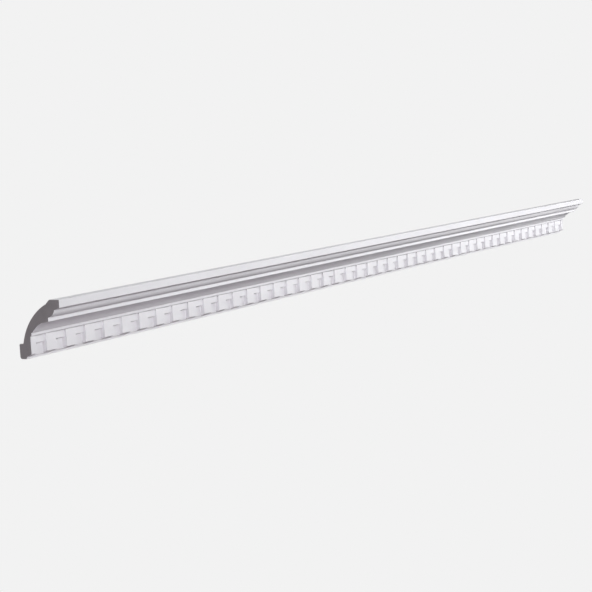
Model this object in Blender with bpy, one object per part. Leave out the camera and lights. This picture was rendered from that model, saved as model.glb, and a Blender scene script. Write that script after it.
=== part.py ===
"""Dentil moulding: one straight length of light cast cornice, cut square at both ends.

X runs along the length, Y points back into the wall and Z points up to the ceiling.
The origin is the centre of the flat strip that is glued to the wall, at half the length.
Run it with: blender --background --python part.py
"""
import math

import bmesh
import bpy

# The run
LENGTH = 2.400               # the whole piece, between its two square cuts
DENTIL_SPACING = 0.051       # nominal, from one dentil to the next

# The row of dentils
GAP_WIDTH = 0.0260           # clear width between two dentils
BRIDGE_HEIGHT = 0.0122       # the panel that closes the top of each gap
BRIDGE_DEPTH = 0.0036        # how far that panel lies behind the dentil faces
NOTCH_DEPTH = 0.0080         # how far the open notch below it is cut back
BRIDGE_SOFFIT_DROP = 0.0021  # fall of the panel's underside, from front to back
GAP_SOFFIT_DROP = 0.0006     # fall of the gap's top, from the dentil faces to the panel

# Heights of the members, from the underside up
BEAD_HEIGHT = 0.0035
DENTIL_SOFFIT_RISE = 0.0044
DENTIL_HEIGHT = 0.0287
LOWER_FILLET_SOFFIT_RISE = 0.0016
LOWER_FILLET_HEIGHT = 0.0046
COVE_FOOT_RISE = 0.0005
COVE_HEIGHT = 0.0153
UPPER_FILLET_SOFFIT_RISE = 0.0027
UPPER_FILLET_HEIGHT = 0.0064
OVOLO_HEIGHT = 0.0122
FASCIA_SOFFIT_RISE = 0.0037
FASCIA_HEIGHT = 0.0128

# How far each member stands out, from the wall forward
DENTIL_PROJECTION = 0.0237   # dentil faces, from the wall
BEAD_INSET = 0.0023          # bead, behind the bottom of the notches
LOWER_FILLET_STEP = 0.0026   # lower fillet, in front of the dentil faces
COVE_FOOT_STEP = 0.0024      # foot of the cove, in front of the lower fillet
COVE_SPREAD = 0.0195
UPPER_FILLET_STEP = 0.0145   # upper fillet, in front of the top of the cove
OVOLO_SPREAD = 0.0132
FASCIA_STEP = 0.0110         # fascia, in front of the top of the ovolo

# How far the curved members leave a straight line between their two ends
COVE_HOLLOW = 0.0016
OVOLO_BULGE = 0.0029
BACK_BULGE = 0.0097

# The back
LIP_HEIGHT = 0.0245          # the lip that is glued to the wall, from the underside up
LIP_DEPTH = 0.0082
LIP_BOTTOM_RADIUS = 0.0040
LIP_TOP_RADIUS = 0.0017
BEAD_RADIUS = 0.0012         # the rounded lower edge of the bead
CEILING_STRIP_WIDTH = 0.0198
CEILING_CHAMFER_RUN = 0.0078
CEILING_CHAMFER_DROP = 0.0073

# Facets
CURVE_STEPS = 8              # along the cove and the ovolo
BACK_STEPS = 12
CORNER_STEPS = 4
SMOOTH_UNDER_DEGREES = 24    # facets that meet at less than this are shaded as one curve

CUT_CLEARANCE = 0.0020       # how far the cutters stand outside what they cut

# The white primer coat
PAINT_COLOUR = (0.83, 0.82, 0.84, 1.0)
PAINT_ROUGHNESS = 0.55


def clear_scene():
    """Empty the scene of whatever the file opened with."""
    for item in list(bpy.data.objects):
        bpy.data.objects.remove(item, do_unlink=True)


def bowed_line(start, end, rise, steps):
    """Points from start to end on an arc whose middle lies rise to the left of the straight line."""
    run = (end[0] - start[0], end[1] - start[1])
    chord = math.hypot(*run)
    along = (run[0] / chord, run[1] / chord)
    left = (-along[1], along[0])
    radius = (chord * chord / 4 + rise * rise) / (2 * abs(rise))
    side = math.copysign(1.0, rise)
    half_angle = math.asin(chord / 2 / radius)
    points = []
    for step in range(steps + 1):
        angle = half_angle * (2 * step / steps - 1)
        forward = chord / 2 + radius * math.sin(angle)
        offset = side * (radius * math.cos(angle) - radius + abs(rise))
        points.append((start[0] + along[0] * forward + left[0] * offset,
                       start[1] + along[1] * forward + left[1] * offset))
    return points


def rounded_corner(centre, radius, first_degrees, last_degrees, steps):
    """Points of a circular corner, turned about its centre between two directions."""
    points = []
    for step in range(steps + 1):
        angle = math.radians(first_degrees + (last_degrees - first_degrees) * step / steps)
        points.append((centre[0] + radius * math.cos(angle), centre[1] + radius * math.sin(angle)))
    return points


def member_heights():
    """Height of every arris of the front above the underside, worked up member by member."""
    steps = (("bead_top", BEAD_HEIGHT), ("dentil_bottom", DENTIL_SOFFIT_RISE),
             ("dentil_top", DENTIL_HEIGHT), ("lower_fillet_bottom", LOWER_FILLET_SOFFIT_RISE),
             ("lower_fillet_top", LOWER_FILLET_HEIGHT), ("cove_bottom", COVE_FOOT_RISE),
             ("cove_top", COVE_HEIGHT), ("upper_fillet_bottom", UPPER_FILLET_SOFFIT_RISE),
             ("upper_fillet_top", UPPER_FILLET_HEIGHT), ("ovolo_top", OVOLO_HEIGHT),
             ("fascia_bottom", FASCIA_SOFFIT_RISE), ("fascia_top", FASCIA_HEIGHT))
    heights = {}
    level = 0.0
    for name, rise in steps:
        level += rise
        heights[name] = level
    return heights


def member_projections():
    """Distance of every member of the front from the wall."""
    out = {"dentil": DENTIL_PROJECTION}
    out["bridge"] = out["dentil"] - BRIDGE_DEPTH
    out["notch"] = out["dentil"] - NOTCH_DEPTH
    out["bead"] = out["notch"] - BEAD_INSET
    out["lower_fillet"] = out["dentil"] + LOWER_FILLET_STEP
    out["cove_bottom"] = out["lower_fillet"] + COVE_FOOT_STEP
    out["cove_top"] = out["cove_bottom"] + COVE_SPREAD
    out["upper_fillet"] = out["cove_top"] + UPPER_FILLET_STEP
    out["ovolo_top"] = out["upper_fillet"] + OVOLO_SPREAD
    out["fascia"] = out["ovolo_top"] + FASCIA_STEP
    return out


def wall_strip_middle():
    """Height of the middle of the flat wall strip above the underside."""
    return (LIP_BOTTOM_RADIUS + LIP_HEIGHT - LIP_TOP_RADIUS) / 2


def section_outline():
    """The cross section as (out from the wall, up from the underside), once round."""
    up = member_heights()
    out = member_projections()
    top = up["fascia_top"]
    ceiling_back = out["fascia"] - CEILING_STRIP_WIDTH
    back_top = (ceiling_back - CEILING_CHAMFER_RUN, top - CEILING_CHAMFER_DROP)
    back_foot = (LIP_DEPTH, LIP_HEIGHT)

    outline = rounded_corner((out["bead"] - BEAD_RADIUS, BEAD_RADIUS), BEAD_RADIUS, -90, 0, CORNER_STEPS)
    outline += [(out["bead"], up["bead_top"]),
                (out["dentil"], up["dentil_bottom"]),
                (out["dentil"], up["dentil_top"]),
                (out["lower_fillet"], up["lower_fillet_bottom"]),
                (out["lower_fillet"], up["lower_fillet_top"])]
    outline += bowed_line((out["cove_bottom"], up["cove_bottom"]), (out["cove_top"], up["cove_top"]),
                          COVE_HOLLOW, CURVE_STEPS)
    outline += [(out["upper_fillet"], up["upper_fillet_bottom"])]
    outline += bowed_line((out["upper_fillet"], up["upper_fillet_top"]), (out["ovolo_top"], up["ovolo_top"]),
                          -OVOLO_BULGE, CURVE_STEPS)
    outline += [(out["fascia"], up["fascia_bottom"]),
                (out["fascia"], top),
                (ceiling_back, top)]
    outline += bowed_line(back_top, back_foot, -BACK_BULGE, BACK_STEPS)
    outline += rounded_corner((LIP_TOP_RADIUS, LIP_HEIGHT - LIP_TOP_RADIUS), LIP_TOP_RADIUS,
                              90, 180, CORNER_STEPS)
    outline += rounded_corner((LIP_BOTTOM_RADIUS, LIP_BOTTOM_RADIUS), LIP_BOTTOM_RADIUS,
                              180, 270, CORNER_STEPS)
    return outline


def gap_outline():
    """The cross section of one gap between two dentils, as its cutter needs it."""
    up = member_heights()
    out = member_projections()
    front = out["dentil"] + CUT_CLEARANCE
    bridge_bottom = up["dentil_top"] - BRIDGE_HEIGHT
    return [(front, -CUT_CLEARANCE),
            (front, up["dentil_top"]),
            (out["dentil"], up["dentil_top"]),
            (out["bridge"], up["dentil_top"] - GAP_SOFFIT_DROP),
            (out["bridge"], bridge_bottom),
            (out["notch"], bridge_bottom - BRIDGE_SOFFIT_DROP),
            (out["notch"], -CUT_CLEARANCE)]


def add_prism(mesh, outline, start_x, end_x):
    """Add one prism to a bmesh: the outline as its end, drawn out along X."""
    base = wall_strip_middle()
    corners = [mesh.verts.new((start_x, -out, up - base)) for out, up in outline]
    end_face = mesh.faces.new(corners)
    drawn = bmesh.ops.extrude_face_region(mesh, geom=[end_face], use_keep_orig=True)
    moved = [item for item in drawn["geom"] if isinstance(item, bmesh.types.BMVert)]
    bmesh.ops.translate(mesh, verts=moved, vec=(end_x - start_x, 0, 0))


def finish_object(mesh, name):
    """Close a bmesh into a named object with outward faces and soft curves."""
    bmesh.ops.recalc_face_normals(mesh, faces=mesh.faces)
    data = bpy.data.meshes.new(name)
    mesh.to_mesh(data)
    mesh.free()
    data.shade_smooth()
    data.set_sharp_from_angle(angle=math.radians(SMOOTH_UNDER_DEGREES))
    item = bpy.data.objects.new(name, data)
    bpy.context.scene.collection.objects.link(item)
    return item


def paint_material():
    """White primer on foam."""
    material = bpy.data.materials.new("white_primer")
    material.use_nodes = True
    shader = material.node_tree.nodes["Principled BSDF"]
    shader.inputs["Base Color"].default_value = PAINT_COLOUR
    shader.inputs["Roughness"].default_value = PAINT_ROUGHNESS
    shader.inputs["Metallic"].default_value = 0.0
    return material


def build_body():
    """The whole cornice as one drawn section, before the gaps are cut."""
    mesh = bmesh.new()
    add_prism(mesh, section_outline(), -LENGTH / 2, LENGTH / 2)
    body = finish_object(mesh, "dentil_moulding")
    body.data.materials.append(paint_material())
    return body


def build_gap_cutter():
    """Every gap of the row as one cutter. A whole number of spacings fills the length, and
    each end falls in the middle of a dentil, so that two lengths join into an unbroken row."""
    count = max(1, round(LENGTH / DENTIL_SPACING))
    pitch = LENGTH / count
    mesh = bmesh.new()
    for index in range(count):
        middle = -LENGTH / 2 + (index + 0.5) * pitch
        add_prism(mesh, gap_outline(), middle - GAP_WIDTH / 2, middle + GAP_WIDTH / 2)
    cutter = finish_object(mesh, "gap_cutter")
    cutter.hide_render = True
    cutter.display_type = 'WIRE'
    return cutter


def main():
    clear_scene()
    body = build_body()
    cut = body.modifiers.new("gaps", 'BOOLEAN')
    cut.operation = 'DIFFERENCE'
    cut.solver = 'EXACT'
    cut.object = build_gap_cutter()


main()
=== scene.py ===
# %% [markdown]
# # A dentil moulding
#
# This lesson dresses one straight length of white cornice. On a wall such a piece hides the joint
# between wall and ceiling, and its row of small square blocks, the dentils, comes down from the
# beam ends of timber temples. This one is cast in dense foam and sprayed with white primer, so
# the whole piece is one body with soft arrises, and its two ends show where a saw went through.
#
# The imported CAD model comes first. It is the fixed frame, and everything below is placed in it.

# %% The frame
import math

import bmesh
import bpy
from mathutils import Matrix, Quaternion, Vector


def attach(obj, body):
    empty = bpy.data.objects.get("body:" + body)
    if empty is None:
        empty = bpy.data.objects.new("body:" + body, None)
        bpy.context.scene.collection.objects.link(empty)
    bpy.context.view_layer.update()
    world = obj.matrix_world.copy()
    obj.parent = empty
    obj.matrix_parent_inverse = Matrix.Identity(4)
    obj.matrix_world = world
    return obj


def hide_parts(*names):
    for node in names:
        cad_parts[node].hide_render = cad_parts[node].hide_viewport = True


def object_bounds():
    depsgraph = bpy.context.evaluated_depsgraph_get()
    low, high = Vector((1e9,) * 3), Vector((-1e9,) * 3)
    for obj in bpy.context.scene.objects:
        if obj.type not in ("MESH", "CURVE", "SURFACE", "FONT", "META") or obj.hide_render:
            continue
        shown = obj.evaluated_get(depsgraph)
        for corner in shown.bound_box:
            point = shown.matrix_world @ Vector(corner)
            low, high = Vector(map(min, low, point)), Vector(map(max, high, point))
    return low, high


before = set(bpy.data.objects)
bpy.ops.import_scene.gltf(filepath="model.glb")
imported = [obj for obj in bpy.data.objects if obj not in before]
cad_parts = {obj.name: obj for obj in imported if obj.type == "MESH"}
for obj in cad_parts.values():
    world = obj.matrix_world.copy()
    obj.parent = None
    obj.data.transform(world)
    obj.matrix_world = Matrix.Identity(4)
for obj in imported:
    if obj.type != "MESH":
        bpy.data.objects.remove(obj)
cad_low, cad_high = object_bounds()
print("CAD box in mm:", [round(side * 1000, 1) for side in cad_high - cad_low])

# %% [markdown]
# ## What the frame gives
#
# X runs along the cornice, Y points back into the wall and Z points up to the ceiling. The length
# and the outermost faces are read from the CAD box, so that the dressed piece can't outgrow it.
# A section is easier to think of as a draughtsperson draws it: how far out from the wall, and how
# far up from the underside. One small function turns that into the frame's own coordinates.

# %% Length, wall and underside
LENGTH = cad_high.x - cad_low.x
WALL_Y = cad_high.y
UNDERSIDE_Z = cad_low.z
DEPTH = WALL_Y - cad_low.y
HEIGHT = cad_high.z - UNDERSIDE_Z


def on_section(out, up, x=0.0):
    """The point that lies out from the wall and up from the underside, at x along the length."""
    return Vector((x, WALL_Y - out, UNDERSIDE_Z + up))


print(f"length {LENGTH:.3f} m, section {DEPTH * 1000:.1f} by {HEIGHT * 1000:.1f} mm")

# %% [markdown]
# ## The members of the front
#
# Each member has its own name in the trade. From the ceiling down: a flat fascia, a convex ovolo,
# a fillet, a hollow cove, a lower fillet, the row of dentils and a small bead. They are given as
# steps, each from the one before, because that is how a template for the mould is filed: a change
# to one member moves those above it. What the steps leave over goes to the fascia and its
# projection, which close the section at the CAD box.

# %% Heights, from the underside up
BEAD_HEIGHT = 0.0035
DENTIL_SOFFIT_RISE = 0.0044
DENTIL_HEIGHT = 0.0287
LOWER_FILLET_SOFFIT_RISE = 0.0016
LOWER_FILLET_HEIGHT = 0.0046
COVE_FOOT_RISE = 0.0005
COVE_HEIGHT = 0.0153
UPPER_FILLET_SOFFIT_RISE = 0.0027
UPPER_FILLET_HEIGHT = 0.0064
OVOLO_HEIGHT = 0.0122
FASCIA_SOFFIT_RISE = 0.0037

bead_top = BEAD_HEIGHT
dentil_bottom = bead_top + DENTIL_SOFFIT_RISE
dentil_top = dentil_bottom + DENTIL_HEIGHT
lower_fillet_bottom = dentil_top + LOWER_FILLET_SOFFIT_RISE
lower_fillet_top = lower_fillet_bottom + LOWER_FILLET_HEIGHT
cove_bottom = lower_fillet_top + COVE_FOOT_RISE
cove_top = cove_bottom + COVE_HEIGHT
upper_fillet_bottom = cove_top + UPPER_FILLET_SOFFIT_RISE
upper_fillet_top = upper_fillet_bottom + UPPER_FILLET_HEIGHT
ovolo_top = upper_fillet_top + OVOLO_HEIGHT
fascia_bottom = ovolo_top + FASCIA_SOFFIT_RISE
print(f"the fascia is {(HEIGHT - fascia_bottom) * 1000:.1f} mm high")

# %% Projections, from the wall out
DENTIL_OUT = 0.0237
BRIDGE_DEPTH = 0.0036        # the panel across the top of a gap, behind the dentil faces
NOTCH_DEPTH = 0.0080         # the open notch below it
BEAD_INSET = 0.0023
LOWER_FILLET_STEP = 0.0026
COVE_FOOT_STEP = 0.0024
COVE_SPREAD = 0.0195
UPPER_FILLET_STEP = 0.0145
OVOLO_SPREAD = 0.0132

bridge_out = DENTIL_OUT - BRIDGE_DEPTH
notch_out = DENTIL_OUT - NOTCH_DEPTH
bead_out = notch_out - BEAD_INSET
lower_fillet_out = DENTIL_OUT + LOWER_FILLET_STEP
cove_foot_out = lower_fillet_out + COVE_FOOT_STEP
cove_top_out = cove_foot_out + COVE_SPREAD
upper_fillet_out = cove_top_out + UPPER_FILLET_STEP
ovolo_top_out = upper_fillet_out + OVOLO_SPREAD
print(f"the fascia stands {(DEPTH - ovolo_top_out) * 1000:.1f} mm in front of the ovolo")

# %% [markdown]
# ## A pen for the section
#
# A section is a line that is drawn from corner to corner. A table of coordinates would do, but it
# would hide which stretches are straight and which are arcs. Here the line is drawn with two of
# Blender's own operators: extruding one vertex gives a straight stretch, and spinning one vertex
# about a centre gives a true arc. The centre follows from the two ends of the arc and from how
# far its middle leaves the straight line between them, which is the one thing that can be read
# off a real moulding with a straightedge.

# %% Straight and curved strokes
def straight_to(mesh, point, out, up):
    """Draw on from a point in a straight line, and return the new end."""
    drawn = bmesh.ops.extrude_vert_indiv(mesh, verts=[point])
    end = drawn["verts"][0]
    end.co = on_section(out, up)
    return end


def arc_to(mesh, point, out, up, rise, steps):
    """Draw on from a point in an arc that rises off its chord, to the left where rise is above 0."""
    start = point.co.copy()
    chord = on_section(out, up) - start
    left = Vector((0, chord.z, -chord.y)).normalized()
    half = chord.length / 2
    radius = (half * half + rise * rise) / (2 * abs(rise))
    side = math.copysign(1, rise)
    centre = start + chord / 2 - left * side * (radius - abs(rise))
    spun = bmesh.ops.spin(mesh, geom=[point], cent=centre, axis=(1, 0, 0), dvec=(0, 0, 0),
                          angle=side * 2 * math.asin(half / radius), steps=steps)
    return next(item for item in spun["geom_last"] if isinstance(item, bmesh.types.BMVert))


def quarter(radius):
    """How far the arc of an outer quarter round leaves its chord."""
    return -radius * (1 - math.cos(math.radians(45)))


# %% [markdown]
# ## Two sections, one for a dentil and one for a gap
#
# The whole row needs only two sections. They share everything except the stretch between the bead
# and the lower fillet: a dentil has a flat face there, and a gap steps back, first at the panel
# that closes its top, then at the notch below. Where the two differ they still meet at common
# points, the foot of the notch on the sloping underside and the top line of the faces, and those
# are what lets the strips be welded to each other later.

# %% The shared back and the two fronts
COVE_HOLLOW = 0.0016
OVOLO_BULGE = 0.0029
BACK_BULGE = 0.0097
BEAD_RADIUS = 0.0012
LIP_HEIGHT = 0.0245
LIP_DEPTH = 0.0082
LIP_BOTTOM_RADIUS = 0.0040
LIP_TOP_RADIUS = 0.0017
CEILING_STRIP_WIDTH = 0.0198
CEILING_CHAMFER_RUN = 0.0078
CEILING_CHAMFER_DROP = 0.0073
BRIDGE_HEIGHT = 0.0122
BRIDGE_SOFFIT_DROP = 0.0021
GAP_SOFFIT_DROP = 0.0006

MEMBER_STEPS = 20
BACK_STEPS = 28
CORNER_STEPS = 6

bridge_bottom = dentil_top - BRIDGE_HEIGHT
notch_top = bridge_bottom - BRIDGE_SOFFIT_DROP
notch_foot = bead_top + DENTIL_SOFFIT_RISE * (notch_out - bead_out) / (DENTIL_OUT - bead_out)
ceiling_back = DEPTH - CEILING_STRIP_WIDTH

DENTIL_FRONT = ((DENTIL_OUT, dentil_bottom), (DENTIL_OUT, dentil_top))
GAP_FRONT = ((notch_out, notch_top), (bridge_out, bridge_bottom),
             (bridge_out, dentil_top - GAP_SOFFIT_DROP), (DENTIL_OUT, dentil_top))


def draw_section(mesh, front, x):
    """Draw one closed section at x, and return its edges."""
    before = set(mesh.edges)
    first = mesh.verts.new(on_section(bead_out - BEAD_RADIUS, 0))
    point = arc_to(mesh, first, bead_out, BEAD_RADIUS, quarter(BEAD_RADIUS), CORNER_STEPS)
    for corner in ((bead_out, bead_top), (notch_out, notch_foot)) + front:
        point = straight_to(mesh, point, *corner)
    for corner in ((lower_fillet_out, lower_fillet_bottom), (lower_fillet_out, lower_fillet_top),
                   (cove_foot_out, cove_bottom)):
        point = straight_to(mesh, point, *corner)
    point = arc_to(mesh, point, cove_top_out, cove_top, COVE_HOLLOW, MEMBER_STEPS)
    for corner in ((upper_fillet_out, upper_fillet_bottom), (upper_fillet_out, upper_fillet_top)):
        point = straight_to(mesh, point, *corner)
    point = arc_to(mesh, point, ovolo_top_out, ovolo_top, -OVOLO_BULGE, MEMBER_STEPS)
    for corner in ((DEPTH, fascia_bottom), (DEPTH, HEIGHT), (ceiling_back, HEIGHT),
                   (ceiling_back - CEILING_CHAMFER_RUN, HEIGHT - CEILING_CHAMFER_DROP)):
        point = straight_to(mesh, point, *corner)
    point = arc_to(mesh, point, LIP_DEPTH, LIP_HEIGHT, -BACK_BULGE, BACK_STEPS)
    point = straight_to(mesh, point, LIP_TOP_RADIUS, LIP_HEIGHT)
    point = arc_to(mesh, point, 0, LIP_HEIGHT - LIP_TOP_RADIUS, quarter(LIP_TOP_RADIUS), CORNER_STEPS)
    point = straight_to(mesh, point, 0, LIP_BOTTOM_RADIUS)
    point = arc_to(mesh, point, LIP_BOTTOM_RADIUS, 0, quarter(LIP_BOTTOM_RADIUS), CORNER_STEPS)
    bmesh.ops.contextual_create(mesh, geom=[point, first])
    edges = [edge for edge in mesh.edges if edge not in before]
    verts = {vert for edge in edges for vert in edge.verts}
    bmesh.ops.translate(mesh, verts=list(verts), vec=(x, 0, 0))
    return edges


# %% [markdown]
# ## One repeat of the row
#
# The row repeats every 51 mm, so one repeat is modelled with care and the rest are copies. The
# repeat starts in the middle of a dentil and ends in the middle of the next one, because the saw
# cuts of the real length fall there too. It is symmetrical, so only half of it is built: a strip
# with the dentil's section up to the side of the gap, then a strip with the gap's section to the
# middle of the gap. The two sections leave an open outline between them, and filling that
# outline makes the side wall of the dentil in one face. The middle of the gap lies at x = 0,
# because the mirror operator welds the two halves only along that plane.

# %% Half a repeat, then its mirror image
DENTIL_SPACING = 0.051       # nominal; a whole number of repeats has to fill the length
GAP_WIDTH = 0.0260
WELD = 0.00001

REPEATS = round(LENGTH / DENTIL_SPACING)
pitch = LENGTH / REPEATS


def draw_strip(mesh, front, start, end):
    """Stretch one section along X, as an open strip."""
    edges = draw_section(mesh, front, start)
    drawn = bmesh.ops.extrude_edge_only(mesh, edges=edges)
    moved = [item for item in drawn["geom"] if isinstance(item, bmesh.types.BMVert)]
    bmesh.ops.translate(mesh, verts=moved, vec=(end - start, 0, 0))


def lies_at(edge, x):
    """Whether an edge lies in the section at x."""
    return all(abs(vert.co.x - x) < WELD for vert in edge.verts)


def one_repeat():
    """A bmesh of one repeat, with the middle of its gap at x = 0, open at both ends."""
    mesh = bmesh.new()
    gap_side = -GAP_WIDTH / 2
    draw_strip(mesh, DENTIL_FRONT, -pitch / 2, gap_side)
    draw_strip(mesh, GAP_FRONT, gap_side, 0)
    bmesh.ops.remove_doubles(mesh, verts=mesh.verts, dist=WELD)
    wall_outline = [edge for edge in mesh.edges if edge.is_boundary and lies_at(edge, gap_side)]
    bmesh.ops.holes_fill(mesh, edges=wall_outline, sides=0)
    bmesh.ops.mirror(mesh, geom=mesh.verts[:] + mesh.edges[:] + mesh.faces[:], axis='X',
                     matrix=Matrix.Identity(4), merge_dist=WELD)
    bmesh.ops.recalc_face_normals(mesh, faces=mesh.faces)
    return mesh


repeat = one_repeat()
print(f"{REPEATS} repeats of {pitch * 1000:.2f} mm, {len(repeat.faces)} faces in each")

# %% [markdown]
# ## Soft arrises
#
# Nothing that comes out of a mould is sharp. Each outer corner has a radius of about half a
# millimetre, each inner corner a small fillet, and the primer rounds both a little more. That is
# what catches a thin line of light along every member. One bevel does both: it is given every
# edge where two faces meet at more than 18 degrees, so that the corners where three arrises
# meet are closed by the operator as well. The facets of the arcs meet at less and stay as they are.

# %% Rounding every corner of the repeat
ARRIS_RADIUS = 0.0006
ARRIS_SEGMENTS = 3
ARRIS_ANGLE = math.radians(18)

turn = repeat.verts.layers.float.new("turn")
arrises = [edge for edge in repeat.edges
           if not edge.is_boundary and edge.calc_face_angle() > ARRIS_ANGLE]
rounded = bmesh.ops.bevel(repeat, geom=arrises, affect='EDGES', offset_type='OFFSET',
                          offset=ARRIS_RADIUS, segments=ARRIS_SEGMENTS, profile=0.5, material=-1,
                          clamp_overlap=True, loop_slide=True)
print(f"{len(arrises)} arrises rounded, {len(repeat.faces)} faces in a repeat now")

# %% [markdown]
# ## Which corners point out, and which point in
#
# Sprayed primer draws back from an outer corner before it dries and gathers in an inner one, and
# an outer corner is also what hands and dust cloths rub. The inner corners also carry painted shade,
# a darker colour where real shade falls. The paint therefore has to know where the corners are. A
# texture painted by hand would do that, but the bevel knows it already: a vertex with only new faces
# around it lies on a rounded corner, and the sign of the angles there tells which way the corner
# points. The answer is kept as a number on each vertex, called turn.

# %% A number for the corners
strips = set(rounded["faces"])
for vert in rounded["verts"]:
    if strips.issuperset(vert.link_faces):
        bend = sum(edge.calc_face_angle_signed(0) for edge in vert.link_edges)
        vert[turn] = math.copysign(1, bend)
outer = sum(vert[turn] > 0 for vert in repeat.verts)
inner = sum(vert[turn] < 0 for vert in repeat.verts)
print(f"{outer} vertices on outer corners and {inner} on inner ones")

# %% [markdown]
# ## Front and back
#
# Only the front and the underside face the mould. The back is where the foam rose and set in the
# open, and nobody paints it. Its faces are the ones that look back towards the wall, together with
# the small step on top of the lip, so they can be picked by their direction and given a slot of
# their own. The saw cuts get a third slot below.

# %% Slots for the finishes
PRIMED, SKIN, SAWN = range(3)
LOOKS_BACK = 0.05            # how far a face has to be turned to the wall, as the Y of its normal

step_back = on_section(LIP_DEPTH + ARRIS_RADIUS, 0).y
step_low = on_section(0, LIP_HEIGHT - LIP_TOP_RADIUS).z
for face in repeat.faces:
    middle = face.calc_center_median()
    on_lip = middle.y > step_back and middle.z > step_low
    face.material_index = SKIN if face.normal.y > LOOKS_BACK or on_lip else PRIMED
back_faces = sum(face.material_index == SKIN for face in repeat.faces)
print(f"{back_faces} faces of a repeat belong to the back")

# %% [markdown]
# ## The whole length
#
# The copies are laid end to end and welded, and each open end is filled with one flat face, which
# is the saw cut. An Array modifier could lay them too, but the ends would still have to be closed
# afterwards, and one closed mesh is simpler to export. A saw also shows how thick the coat is: a
# narrow rim, inset from the outline, keeps the finish of the side it lies on.

# %% Copies, weld and saw cuts
def lay_copies(mesh):
    """Lay copies of a repeat end to end, from one end of the CAD box to the other."""
    first = mesh.verts[:] + mesh.edges[:] + mesh.faces[:]
    for index in range(1, REPEATS):
        copied = bmesh.ops.duplicate(mesh, geom=first)
        moved = [item for item in copied["geom"] if isinstance(item, bmesh.types.BMVert)]
        bmesh.ops.translate(mesh, verts=moved, vec=(index * pitch, 0, 0))
    bmesh.ops.remove_doubles(mesh, verts=mesh.verts, dist=WELD)
    bmesh.ops.translate(mesh, verts=mesh.verts, vec=(cad_low.x + pitch / 2, 0, 0))


lay_copies(repeat)
open_ends = [edge for edge in repeat.edges if edge.is_boundary]
sawn = bmesh.ops.holes_fill(repeat, edges=open_ends, sides=0)["faces"]
for face in sawn:
    face.material_index = SAWN
bmesh.ops.recalc_face_normals(repeat, faces=repeat.faces)
print(f"{len(sawn)} saw cuts, {len(repeat.faces)} faces in all")

# %% The coat in section
COAT_SHOWN = 0.0003

outline = {edge for face in sawn for edge in face.edges}
rims = bmesh.ops.inset_region(repeat, faces=sawn, thickness=COAT_SHOWN, depth=0,
                              use_boundary=True, use_even_offset=True)["faces"]
for rim in rims:
    beside = next(face for edge in rim.edges if edge in outline
                  for face in edge.link_faces if face is not rim)
    rim.material_index = beside.material_index
print(f"{len(rims)} rim faces round both cuts")

# %% [markdown]
# ## One object
#
# The finished mesh becomes the object that takes the place of the plain CAD solid. The shading is
# smooth over curves and rounded corners and sharp only at the saw cuts. The Weighted Normal
# modifier lets the large faces decide the shading, so that they stay flat beside their soft arrises.

# %% The moulding as one object
SHARP_ANGLE = math.radians(50)

cornice_mesh = bpy.data.meshes.new("cast_cornice")
repeat.to_mesh(cornice_mesh)
repeat.free()
cornice_mesh.shade_smooth()
cornice_mesh.set_sharp_from_angle(angle=SHARP_ANGLE)
cornice = bpy.data.objects.new("cast_cornice", cornice_mesh)
bpy.context.scene.collection.objects.link(cornice)
weighted = cornice.modifiers.new("flat_faces_stay_flat", 'WEIGHTED_NORMAL')
weighted.keep_sharp = True
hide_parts("dentil_moulding")
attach(cornice, "root")
print(sum(len(face.vertices) - 2 for face in cornice_mesh.polygons), "triangles in the moulding")

# %% [markdown]
# ## A small kit for paint and foam
#
# Three finishes follow, and each is a few patterns laid over the piece's own coordinates. Written
# out node by node they would all read alike, so the steps that repeat get a name first: a
# material, a node with its sockets set, noise and cells, a change of range, a sum and a product, a
# blend of two colours, and a bump. Real sizes go in as metres, because Object coordinates are
# metres here. Only the heights of a relief are in millimetres, since they are so small. A noise
# hardly leaves the middle of its range, so each pattern names the band that is stretched to run
# from 0 to 1. A narrow band gives a hard edge.

# %% Helpers for the finishes
MILLIMETRE = 0.001


def new_finish(name, roughness):
    """A material with its node tree, its Principled shader and the piece's own coordinates."""
    material = bpy.data.materials.new(name)
    material.use_nodes = True
    tree = material.node_tree
    shader = tree.nodes["Principled BSDF"]
    shader.inputs["Roughness"].default_value = roughness
    place = tree.nodes.new("ShaderNodeTexCoord").outputs["Object"]
    return material, tree, shader, place


def add_node(tree, kind, **sockets):
    """Add one shader node, with some of its sockets set."""
    node = tree.nodes.new("ShaderNode" + kind)
    for name, value in sockets.items():
        node.inputs[name.replace("_", " ")].default_value = value
    return node


def stretched(tree, place, x, y, z):
    """The same coordinates, stretched, so that a pattern becomes longer along one axis."""
    mapping = add_node(tree, "Mapping", Scale=(x, y, z))
    tree.links.new(place, mapping.inputs["Vector"])
    return mapping.outputs["Vector"]


def speckle(tree, place, grain, detail=2.0):
    """A noise whose grains are about so many metres across."""
    noise = add_node(tree, "TexNoise", Scale=1 / grain, Detail=detail)
    tree.links.new(place, noise.inputs["Vector"])
    return noise.outputs["Fac"]


def from_cell_middle(tree, place, size):
    """How far a point lies from the middle of its cell, with cells about so many metres across."""
    cells = add_node(tree, "TexVoronoi", Scale=1 / size)
    tree.links.new(place, cells.inputs["Vector"])
    return cells.outputs["Distance"]


def ranged(tree, value, low, high, start=0.0, end=1.0):
    """Change the range of a value from low and high to start and end."""
    node = add_node(tree, "MapRange", From_Min=low, From_Max=high, To_Min=start, To_Max=end)
    tree.links.new(value, node.inputs["Value"])
    return node.outputs["Result"]


def scaled(tree, value, end):
    """Let a value that runs from 0 to 1 run from 0 to another end."""
    return ranged(tree, value, 0, 1, 0, end)


def blended(tree, amount, first, second):
    """Blend two colours, each given as numbers or as a socket."""
    node = tree.nodes.new("ShaderNodeMix")
    node.data_type = 'RGBA'
    tree.links.new(amount, node.inputs[0])
    for socket, colour in zip(node.inputs[6:8], (first, second)):
        if isinstance(colour, tuple):
            socket.default_value = (*colour, 1)
        else:
            tree.links.new(colour, socket)
    return node.outputs[2]


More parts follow.
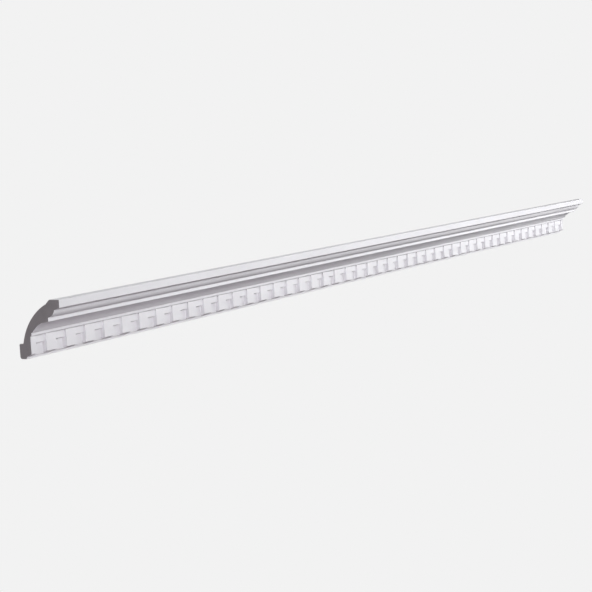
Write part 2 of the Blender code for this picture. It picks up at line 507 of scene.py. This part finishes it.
def summed(tree, first, second):
    """Add two values."""
    node = tree.nodes.new("ShaderNodeMath")
    tree.links.new(first, node.inputs[0])
    tree.links.new(second, node.inputs[1])
    return node.outputs[0]


def multiplied(tree, first, second):
    """Multiply two values, and hold the result between 0 and 1."""
    node = tree.nodes.new("ShaderNodeMath")
    node.operation = 'MULTIPLY'
    node.use_clamp = True
    tree.links.new(first, node.inputs[0])
    tree.links.new(second, node.inputs[1])
    return node.outputs[0]


def raised(tree, shader, height, strength):
    """Let a height in millimetres bump the surface."""
    bump = add_node(tree, "Bump", Strength=strength, Distance=MILLIMETRE)
    tree.links.new(height, bump.inputs["Height"])
    tree.links.new(bump.outputs["Normal"], shader.inputs["Normal"])


# %% [markdown]
# ## The primer
#
# The front is sprayed with a satin white primer, which has the faintest lilac cast. Up close it is
# never one colour: it lies in long soft passes along the length, has the fine dimples of a sprayed
# coat, is thin on the outer corners, where the greyer foam shows through, and thick and a little
# darker in the inner ones, where that darker colour is also painted shade. All four are small here,
# as they are on a new piece.

# %% White primer
PRIMER = (0.834, 0.832, 0.860)
PRIMER_THIN = (0.790, 0.786, 0.814)
# the darker colour of the inner corners: thicker primer, and painted shade
PRIMER_THICK_PAINTED_SHADE = (0.786, 0.774, 0.800)
PRIMER_WORN = (0.780, 0.776, 0.788)
PRIMER_ROUGHNESS = 0.50
PASS_WIDTH = 0.018
PASS_STRETCH = 0.12          # below 1, which draws a pass out along the length
PASS_BAND = (0.35, 0.68)
RUBBED_WIDTH = 0.009
RUBBED_BAND = (0.45, 0.62)

primer, tree, shader, place = new_finish("white_primer", PRIMER_ROUGHNESS)
along = stretched(tree, place, PASS_STRETCH, 1, 1)
passes = ranged(tree, speckle(tree, along, PASS_WIDTH), *PASS_BAND)
coat = blended(tree, passes, PRIMER, PRIMER_THIN)
corner = tree.nodes.new("ShaderNodeAttribute")
corner.attribute_name = "turn"
# inner corners, where turn is below 0, take a darker colour: thicker primer, and painted shade where
# real shade falls
thick_coat_painted_shade = ranged(tree, corner.outputs["Fac"], 0, -1)
coat = blended(tree, thick_coat_painted_shade, coat, PRIMER_THICK_PAINTED_SHADE)
rubbed = ranged(tree, speckle(tree, place, RUBBED_WIDTH), *RUBBED_BAND)
coat = blended(tree, multiplied(tree, corner.outputs["Fac"], rubbed), coat, PRIMER_WORN)
tree.links.new(coat, shader.inputs["Base Color"])

# %% Its sheen and its dimples
SHEEN_WIDTH = 0.006
SHEEN_BAND = (0.3, 0.7)
SHEEN_SWING = 0.06           # how far the roughness goes up and down from patch to patch
DIMPLE_WIDTH = 0.0016
DIMPLE_MM = 0.03
DUST_WIDTH = 0.0003
DUST_MM = 0.008
GRAIN_BAND = (0.2, 0.8)
PRIMER_RELIEF = 0.6

gloss = ranged(tree, speckle(tree, place, SHEEN_WIDTH), *SHEEN_BAND,
               PRIMER_ROUGHNESS - SHEEN_SWING, PRIMER_ROUGHNESS + SHEEN_SWING)
tree.links.new(gloss, shader.inputs["Roughness"])
dimples = ranged(tree, speckle(tree, place, DIMPLE_WIDTH), *GRAIN_BAND, 0, DIMPLE_MM)
dust = ranged(tree, speckle(tree, place, DUST_WIDTH, detail=1), *GRAIN_BAND, 0, DUST_MM)
raised(tree, shader, summed(tree, dimples, dust), PRIMER_RELIEF)
cornice_mesh.materials.append(primer)
print("primer between", PRIMER, "and", PRIMER_THIN)

# %% [markdown]
# ## The back
#
# The back is the bare skin of the foam. It is a warmer, duller white than the primer, drawn out in
# faint flow lines along the mould, and peppered with the small craters that bubbles leave when
# they burst. The craters are the cells of a Voronoi pattern, of which only the middles are kept,
# and a coarser noise decides where they come in groups.

# %% Foam skin
SKIN_PALE = (0.760, 0.728, 0.690)
SKIN_DULL = (0.665, 0.628, 0.588)
CRATER = (0.42, 0.39, 0.36)
CRATER_SHARE = 0.6           # how much of its own colour a crater shows
SKIN_ROUGHNESS = 0.68
FLOW_WIDTH = 0.010
FLOW_STRETCH = 0.08
FLOW_BAND = (0.32, 0.70)
FLOW_MM = 0.12
BUBBLE_SPACING = 0.0045
BUBBLE_EDGE = (0.10, 0.26)   # where a crater ends, as parts of that spacing
GROUP_WIDTH = 0.05
GROUP_BAND = (0.48, 0.60)
CRATER_MM = -0.5
SKIN_RELIEF = 0.7

skin, tree, shader, place = new_finish("foam_skin", SKIN_ROUGHNESS)
along = stretched(tree, place, FLOW_STRETCH, 1, 1)
flow = ranged(tree, speckle(tree, along, FLOW_WIDTH, detail=4), *FLOW_BAND)
bubbles = ranged(tree, from_cell_middle(tree, place, BUBBLE_SPACING), *BUBBLE_EDGE, 1, 0)
groups = ranged(tree, speckle(tree, place, GROUP_WIDTH), *GROUP_BAND)
craters = multiplied(tree, bubbles, groups)
colour = blended(tree, flow, SKIN_PALE, SKIN_DULL)
colour = blended(tree, scaled(tree, craters, CRATER_SHARE), colour, CRATER)
tree.links.new(colour, shader.inputs["Base Color"])
height = summed(tree, scaled(tree, flow, FLOW_MM), scaled(tree, craters, CRATER_MM))
raised(tree, shader, height, SKIN_RELIEF)
cornice_mesh.materials.append(skin)
print("foam skin between", SKIN_PALE, "and", SKIN_DULL)

# %% [markdown]
# ## The saw cuts
#
# Inside, the foam is grey, much darker than its coat. A fine saw leaves two marks on it: the cut
# cells, a little over half a millimetre across, and shallow strokes at a slant, a little under two
# millimetres apart. A Voronoi pattern gives the cells and a Wave pattern the strokes. A coarse
# noise makes the shade uneven, and the three together decide how dark a point is.

# %% Sawn foam
FOAM = (0.440, 0.421, 0.432)
FOAM_DARK = (0.325, 0.310, 0.319)
FOAM_ROUGHNESS = 0.85
CELL_SIZE = 0.0006
CELL_EDGE = (0.15, 0.70)
CELL_SHADE = 0.40
CELL_MM = -0.12
STROKE_SCALE = 260           # in the node's own measure, which sets the strokes 1.7 mm apart
STROKE_SHADE = 0.35
STROKE_MM = 0.05
CLOUD_WIDTH = 0.02
CLOUD_BAND = (0.35, 0.70)
CLOUD_SHADE = 0.35
FOAM_RELIEF = 0.6

foam, tree, shader, place = new_finish("sawn_foam", FOAM_ROUGHNESS)
hollow = ranged(tree, from_cell_middle(tree, place, CELL_SIZE), *CELL_EDGE, 1, 0)
wave = add_node(tree, "TexWave", Scale=STROKE_SCALE, Distortion=1.6, Detail=2, Detail_Scale=0.6)
wave.bands_direction = 'DIAGONAL'
tree.links.new(place, wave.inputs["Vector"])
strokes = wave.outputs["Fac"]
cloud = ranged(tree, speckle(tree, place, CLOUD_WIDTH), *CLOUD_BAND, 0, CLOUD_SHADE)
shade = summed(tree, scaled(tree, strokes, STROKE_SHADE), cloud)
shade = summed(tree, shade, scaled(tree, hollow, CELL_SHADE))
tree.links.new(blended(tree, shade, FOAM, FOAM_DARK), shader.inputs["Base Color"])
depth = summed(tree, scaled(tree, hollow, CELL_MM), scaled(tree, strokes, STROKE_MM))
raised(tree, shader, depth, FOAM_RELIEF)
cornice_mesh.materials.append(foam)
print("sawn foam between", FOAM, "and", FOAM_DARK)

# %% [markdown]
# ## The camera
#
# The photograph is taken from beyond the left end, from slightly above, with a long lens. The
# camera's place, aim and roll were worked out from the corners of both ends and from the 47 gaps
# between them. In the photograph the piece bows up by about three millimetres in the middle, which
# a straight one can't follow, so the aim shares that difference between the middle and the ends.

# %% Camera
CAMERA_PLACE = Vector((-3.0710, -1.6238, 0.3248))
CAMERA_AIM = Vector((-0.4057, -0.0499, -0.0073))
CAMERA_ROLL = -3.207
LENS_MM = 93.2

camera = bpy.data.objects.new("camera", bpy.data.cameras.new("camera"))
camera.data.lens = LENS_MM
camera.location = CAMERA_PLACE
level = (CAMERA_AIM - CAMERA_PLACE).to_track_quat('-Z', 'Y')
camera.rotation_mode = 'QUATERNION'
camera.rotation_quaternion = level @ Quaternion((0, 0, 1), math.radians(CAMERA_ROLL))
bpy.context.scene.collection.objects.link(camera)
bpy.context.scene.camera = camera
print(f"the camera stands {(CAMERA_AIM - CAMERA_PLACE).length:.2f} m from what it looks at")

# %% [markdown]
# ## Floor and room
#
# The piece hangs in front of an even pale ground, without a shadow and without a horizon. Floor
# and room are therefore given the same pale value wherever the camera looks straight at them,
# while the light meets a plain grey floor and an almost dark room. The floor lies far below, so
# that it never hides the piece when it is looked at from underneath.

# %% Floor and room
PALE = 0.888
FLOOR_GREY = 0.8
FLOOR_Z = -7.0
FLOOR_HALF = 60              # from the middle of the floor to each side
ROOM_FILL = (0.010, 0.009, 0.010)


def pale_to_camera(tree, camera_side, light_side, output):
    """Show one shader to the camera and another to the light."""
    path = tree.nodes.new("ShaderNodeLightPath")
    mix = tree.nodes.new("ShaderNodeMixShader")
    tree.links.new(path.outputs["Is Camera Ray"], mix.inputs["Fac"])
    tree.links.new(light_side.outputs[0], mix.inputs[1])
    tree.links.new(camera_side.outputs[0], mix.inputs[2])
    tree.links.new(mix.outputs["Shader"], tree.nodes.new(output).inputs["Surface"])


floor_shape = bmesh.new()
bmesh.ops.create_grid(floor_shape, x_segments=1, y_segments=1, size=FLOOR_HALF)
bmesh.ops.translate(floor_shape, verts=floor_shape.verts, vec=(0, 0, FLOOR_Z))
floor_mesh = bpy.data.meshes.new("floor")
floor_shape.to_mesh(floor_mesh)
floor_shape.free()
floor = bpy.data.objects.new("floor", floor_mesh)
bpy.context.scene.collection.objects.link(floor)

pale = bpy.data.materials.new("pale_floor")
pale.use_nodes = True
pale.node_tree.nodes.clear()
glow = add_node(pale.node_tree, "Emission", Color=(PALE, PALE, PALE, 1))
dull = add_node(pale.node_tree, "BsdfDiffuse", Color=(FLOOR_GREY, FLOOR_GREY, FLOOR_GREY, 1))
pale_to_camera(pale.node_tree, glow, dull, "ShaderNodeOutputMaterial")
floor_mesh.materials.append(pale)

room = bpy.data.worlds.new("room")
room.use_nodes = True
room.node_tree.nodes.clear()
seen = add_node(room.node_tree, "Background", Color=(PALE, PALE, PALE, 1))
fill = add_node(room.node_tree, "Background", Color=(*ROOM_FILL, 1))
pale_to_camera(room.node_tree, seen, fill, "ShaderNodeOutputWorld")
bpy.context.scene.world = room
bpy.context.scene.view_settings.view_transform = 'Standard'
print(f"floor at {FLOOR_Z} m, ground {PALE}")

# %% [markdown]
# ## Light
#
# Seven soft boxes light the piece. The shading of the gaps tells where they stand. The main box is
# two metres away in front, about twenty degrees up, high enough to leave cove and ovolo in their
# own shade. The side walls that look left are almost as bright as the faces, so the next one is on
# the left. Everything gets brighter towards the right end: three that add less stand on that
# side, two of them close by. The hollows are faintly mauve, as if the light there came up from a
# warm floor, and a tinted box below does that. The last one, above and behind, lights the top.

# %% Soft boxes
BODY_MIDDLE = on_section(DEPTH / 2, HEIGHT / 2)
WHITE = (1.00, 1.00, 1.00)
MAUVE = (1.00, 0.84, 0.96)


def soft_box(name, place, aim_x, size, watts, colour=WHITE):
    """A square area light at a place, turned towards the piece at aim_x along its length."""
    light = bpy.data.lights.new(name, 'AREA')
    light.shape = 'SQUARE'
    light.size = size
    light.energy = watts
    light.color = colour
    box = bpy.data.objects.new(name, light)
    box.location = place
    aim = BODY_MIDDLE + Vector((aim_x, 0, 0))
    box.rotation_euler = (aim - box.location).to_track_quat('-Z', 'Y').to_euler()
    bpy.context.scene.collection.objects.link(box)
    print(f"{name}: {watts} W, {(aim - box.location).length:.1f} m away")


soft_box("main_box", Vector((-0.80, -2.00, 0.80)), aim_x=0.0, size=0.8, watts=22.7)
soft_box("left_box", Vector((-3.50, -1.86, 0.56)), aim_x=0.0, size=1.1, watts=34)
soft_box("right_box", Vector((2.48, -2.76, 1.50)), aim_x=0.0, size=1.1, watts=30)
soft_box("near_box", Vector((0.90, -1.40, 0.45)), aim_x=0.6, size=0.7, watts=8.2)
soft_box("end_box", Vector((1.60, -1.20, 0.00)), aim_x=0.6, size=0.7, watts=7.8)
soft_box("low_box", Vector((-2.97, -0.74, -2.57)), aim_x=0.0, size=1.1, watts=21, colour=MAUVE)
soft_box("back_box", Vector((0.00, 1.60, 2.40)), aim_x=0.0, size=1.2, watts=60)
